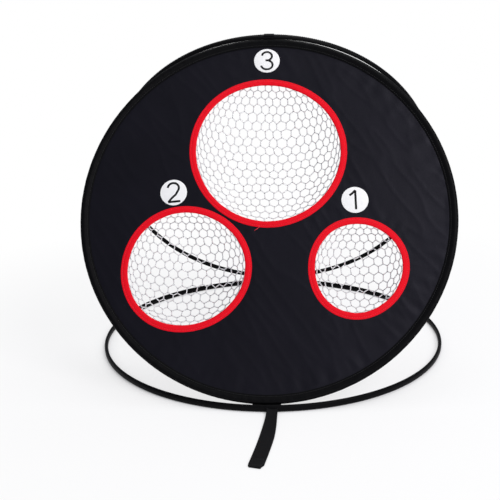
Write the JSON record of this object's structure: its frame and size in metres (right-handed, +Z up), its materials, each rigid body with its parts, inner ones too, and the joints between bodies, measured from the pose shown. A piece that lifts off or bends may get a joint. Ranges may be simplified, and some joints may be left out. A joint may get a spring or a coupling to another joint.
{
  "type": "golf chipping net",
  "caption": "Pop-up golf chipping net: a round black target panel on a sprung hoop, leaning against a rear hoop on a base hoop, with netted, numbered targets",
  "frame": {"origin": "on the floor, at the centre of the base hoop", "axes": "+Z up; +X to the right seen from the player, who stands on the -Y side; the target panel faces -Y and leans back"},
  "size_m": [0.581, 0.726, 0.5108],
  "materials": {
    "black_fabric": "matt polyester",
    "hem_fabric": "satin polyester",
    "red_tape": "woven bias tape",
    "white_net": "knotless nylon net",
    "patch_white": "printed patch",
    "webbing": "woven webbing",
    "spring_steel": "blued spring steel",
    "ferrule_steel": "crimped tube"
  },
  "bodies": {
    "base": {"base_sleeve": "hem_fabric", "base_hoop": "spring_steel", "base_ferrule": "ferrule_steel", "hinge_tab_base": "webbing", "rear_hinge_loop": "webbing", "strap": "webbing", "strap_end_hem": "webbing"},
    "front": {"front_panel": "black_fabric", "front_hem": "hem_fabric", "front_hoop": "spring_steel", "front_ferrule": "ferrule_steel", "hinge_tab_front": "webbing", "binding_1": "red_tape", "binding_2": "red_tape", "binding_3": "red_tape", "pocket_1": "white_net", "pocket_2": "white_net", "pocket_3": "white_net", "number_patch_1": "patch_white", "number_patch_2": "patch_white", "number_patch_3": "patch_white"},
    "rear": {"rear_sleeve": "hem_fabric", "rear_hoop": "spring_steel", "rear_ferrule": "ferrule_steel", "top_tie": "webbing"}
  },
  "joints": [
    {"name": "front_fold", "type": "hinge", "parent": "base", "child": "front", "pos_m": [0, -0.28225, 0.0056], "axis": [1, 0, 0], "range_deg": [-61.86, 0], "deforming": ["pocket_1", "pocket_2", "pocket_3"]},
    {"name": "rear_fold", "type": "hinge", "parent": "base", "child": "rear", "pos_m": [0, 0.2875, 0.0174], "axis": [1, 0, 0], "range_deg": [0, 58.19]}
  ],
  "couplings": [
    {"joint": "rear_fold", "follows": "front_fold", "ratio": -0.94069}
  ]
}
